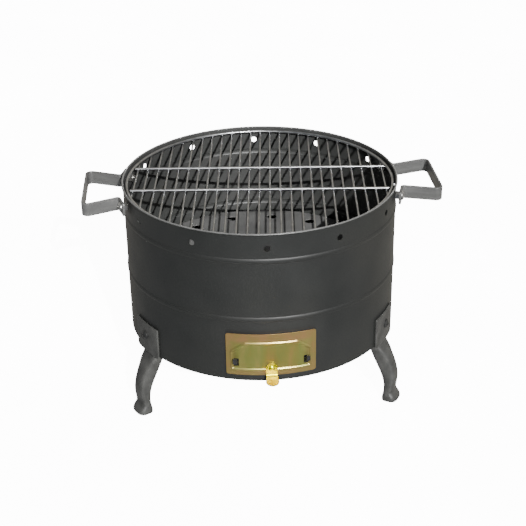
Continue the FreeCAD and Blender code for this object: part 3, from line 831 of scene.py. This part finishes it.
def make_door():
    """The door sheet, drawn flat with its pressed rib and slots, then bent round the drum."""
    low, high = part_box("vent_door")
    height = high.z - low.z
    half = along_door(DOOR_HALF_ANGLE)
    slot = along_door(SLOT_ANGLE)
    slots = [slot - SLOT_HALF_WIDTH, slot + SLOT_HALF_WIDTH]
    columns = [-half, -half + DOOR_CORNER, -slots[1], -slots[0]]
    columns += [slots[0], slots[1], half - DOOR_CORNER, half]
    rows = [0.0, DOOR_CORNER, SLOT_LOW, SLOT_HIGH, height - DOOR_CORNER, height]
    xs, zs = ruled(columns, DOOR_STEP), ruled(rows, DOOR_STEP)
    crest = rib_path()
    bm = bmesh.new()
    grid = []
    for z in zs:
        inset = corner_inset(min(z, height - z, DOOR_CORNER), DOOR_CORNER)
        row = []
        for x in xs:
            beyond = max(abs(x) - (half - DOOR_CORNER), 0.0) / DOOR_CORNER
            spot = Vector((x - math.copysign(beyond * inset, x), z, 0))
            away = distance_to_path(spot, crest)
            rise = 0.0
            if away < RIB_HALF_WIDTH:
                rise = RIB_HEIGHT * math.cos(math.pi / 2 * away / RIB_HALF_WIDTH) ** 2
            azimuth = math.degrees(spot.x / DOOR_MIDDLE)
            row.append(bm.verts.new(polar(DOOR_INNER + rise, azimuth, low.z + z)))
        grid.append(row)
    for i, (z, z_next) in enumerate(zip(zs, zs[1:])):
        for j, (x, x_next) in enumerate(zip(xs, xs[1:])):
            in_slot = SLOT_LOW < (z + z_next) / 2 < SLOT_HIGH
            if in_slot and slots[0] < abs(x + x_next) / 2 < slots[1]:
                continue
            face = (grid[i][j], grid[i][j + 1], grid[i + 1][j + 1], grid[i + 1][j])
            bm.faces.new(face)
    loose = [vertex for vertex in bm.verts if not vertex.link_faces]
    bmesh.ops.delete(bm, geom=loose, context="VERTS")
    bmesh.ops.remove_doubles(bm, verts=bm.verts, dist=DOOR_MERGE)
    door = make_piece("vent_door_sheet", bm, "door", "door_zinc", "vent_door")
    thicken = door.modifiers.new("thickness", "SOLIDIFY")
    thicken.thickness = DOOR_GAUGE
    thicken.offset = 1.0
    thicken.use_even_offset = True
    round_edges(door, DOOR_EDGE)


make_door()


# ---------------------------------------------------------------- pull tab

TAB_GAUGE = 1.5 * MM
TAB_EDGE = 0.35 * MM
TAB_BEND = 4.0 * MM
TAB_BEND_BELOW_RIVET = 7.0 * MM
TAB_TOP_HALF = 7.9 * MM
TAB_WAIST_HALF = 7.0 * MM
TAB_END_HALF = 8.4 * MM
TAB_TIP_HALF = 0.05 * MM
# Shares of the tab's length: where its waist is, and over how much it widens below that.
TAB_WAIST = 0.45
TAB_FLARE = 0.3
TAB_ROWS = 56
TAB_COLUMNS = 16
TAB_MERGE = 0.02 * MM


def point_along(path, length):
    """The point at a length along a path."""
    for start, end in zip(path, path[1:]):
        run = (end - start).length
        if length <= run:
            return start.lerp(end, length / run)
        length -= run
    return path[-1]


def tab_half_width(length, total):
    """Half the tab's width at a length from its top: waisted, with round ends."""
    share = length / total
    above_waist = max(1 - share / TAB_WAIST, 0.0)
    below_waist = max((share - TAB_WAIST) / TAB_FLARE, 0.0)
    half = TAB_WAIST_HALF + (TAB_TOP_HALF - TAB_WAIST_HALF) * above_waist**2
    half += (TAB_END_HALF - TAB_WAIST_HALF) * below_waist**1.5
    half = min(half, TAB_END_HALF)
    for from_end, radius in ((length, TAB_TOP_HALF), (total - length, TAB_END_HALF)):
        if from_end < radius:
            half = min(half, radius - corner_inset(from_end, radius))
    return max(half, TAB_TIP_HALF)


def make_tab():
    """A waisted finger tab with round ends, riveted to the door and bent outwards."""
    low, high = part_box("door_pull_tab")
    seat = high.y - TAB_GAUGE / 2
    bend_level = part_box("door_tab_rivet")[0].z - TAB_BEND_BELOW_RIVET
    tip = Vector((0, low.y + TAB_GAUGE / 4, low.z + TAB_GAUGE / 2))
    line = [Vector((0, seat, high.z)), Vector((0, seat, bend_level)), tip]
    path = rounded_path(line, [TAB_BEND], 12)
    total = sum((after - before).length for before, after in zip(path, path[1:]))
    bm = bmesh.new()
    grid = []
    for step in range(TAB_ROWS + 1):
        length = total * (1 - math.cos(math.pi * step / TAB_ROWS)) / 2
        here = point_along(path, length)
        half = tab_half_width(length, total)
        row = []
        for column in range(TAB_COLUMNS + 1):
            share = math.sin(math.pi / 2 * (2 * column / TAB_COLUMNS - 1))
            row.append(bm.verts.new(here + Vector((share * half, 0, 0))))
        grid.append(row)
    for row, row_next in zip(grid, grid[1:]):
        for j in range(TAB_COLUMNS):
            bm.faces.new((row[j], row[j + 1], row_next[j + 1], row_next[j]))
    bmesh.ops.remove_doubles(bm, verts=bm.verts, dist=TAB_MERGE)
    tab = make_piece("door_pull_tab_strip", bm, "door", "tab_brass", "door_pull_tab")
    thicken = tab.modifiers.new("thickness", "SOLIDIFY")
    thicken.thickness = TAB_GAUGE
    thicken.offset = 0.0
    round_edges(tab, TAB_EDGE)


make_tab()


# ---------------------------------------------------------------- floor and light

FLOOR_SIZE = 40.0
FLOOR_DROP = 0.2 * MM
FLOOR_GLOW = 14.0


def make_floor():
    """A plain pale floor, softly glowing so that shadows on it stay faint."""
    bm = bmesh.new()
    bmesh.ops.create_grid(bm, x_segments=1, y_segments=1, size=FLOOR_SIZE)
    mesh = bpy.data.meshes.new("floor")
    bm.to_mesh(mesh)
    bm.free()
    floor = bpy.data.objects.new("floor", mesh)
    collection.objects.link(floor)
    floor.location.z = -FLOOR_DROP
    material, shader = new_material("floor_paint")
    tone = ramp(material, noise(material, 3.0), [(0.3, (0.86, 0.86, 0.86)), (0.7, (0.9, 0.9, 0.9))])
    material.node_tree.links.new(tone, shader.inputs["Base Color"])
    material.node_tree.links.new(tone, shader.inputs["Emission Color"])
    shader.inputs["Emission Strength"].default_value = FLOOR_GLOW
    shader.inputs["Roughness"].default_value = 0.9
    mesh.materials.append(material)
    floor.visible_diffuse = False
    floor.visible_glossy = False
    floor.visible_shadow = False


def make_light(name, energy, angle, travel, glossy=True):
    """A distant lamp; travel is the way its light goes, turned with the camera about Z.

    A lamp that isn't glossy stands for light from all over the floor or the room, and shows no
    highlight of its own.
    """
    lamp = bpy.data.lights.new(name, "SUN")
    lamp.energy = energy
    lamp.angle = math.radians(angle)
    holder = bpy.data.objects.new(name, lamp)
    collection.objects.link(holder)
    holder.rotation_mode = "QUATERNION"
    direction = turn_view.to_3x3() @ Vector(travel)
    holder.rotation_quaternion = direction.to_track_quat("-Z", "Y")
    holder.visible_glossy = glossy


make_floor()
make_light("key_light", 8.0, 0.35, (-0.29, 0.98, -0.59))
make_light("floor_bounce", 5.0, 30.0, (0.0, 0.5, 0.87), glossy=False)
make_light("back_fill", 5.0, 20.0, (-0.4, -0.89, -0.22), glossy=False)

BACKDROP_GLOW = [(0.0, (0.13, 0.14, 0.16)), (0.5, (0.31, 0.315, 0.32)), (1.0, (0.56, 0.53, 0.46))]
BACKDROP_SWING = math.radians(20)
BACKDROP_SPAN = (-0.7, 0.9)


def make_backdrop():
    """Soft light from all round: cooler and dimmer in front, warmer and brighter behind."""
    world = bpy.data.worlds.new("studio")
    bpy.context.scene.world = world
    world.use_nodes = True
    background = world.node_tree.nodes["Background"]
    axes = world.node_tree.nodes.new("ShaderNodeSeparateXYZ")
    place = world.node_tree.nodes.new("ShaderNodeTexCoord")
    swing = add_node(world, "ShaderNodeMapping", Rotation=(0, 0, BACKDROP_SWING))
    world.node_tree.links.new(place.outputs["Generated"], swing.inputs["Vector"])
    world.node_tree.links.new(swing.outputs["Vector"], axes.inputs["Vector"])
    share = rescale(world, axes.outputs["Y"], BACKDROP_SPAN, (0.0, 1.0))
    glow = ramp(world, share, BACKDROP_GLOW)
    world.node_tree.links.new(glow, background.inputs["Color"])
    background.inputs["Strength"].default_value = 1.0


make_backdrop()
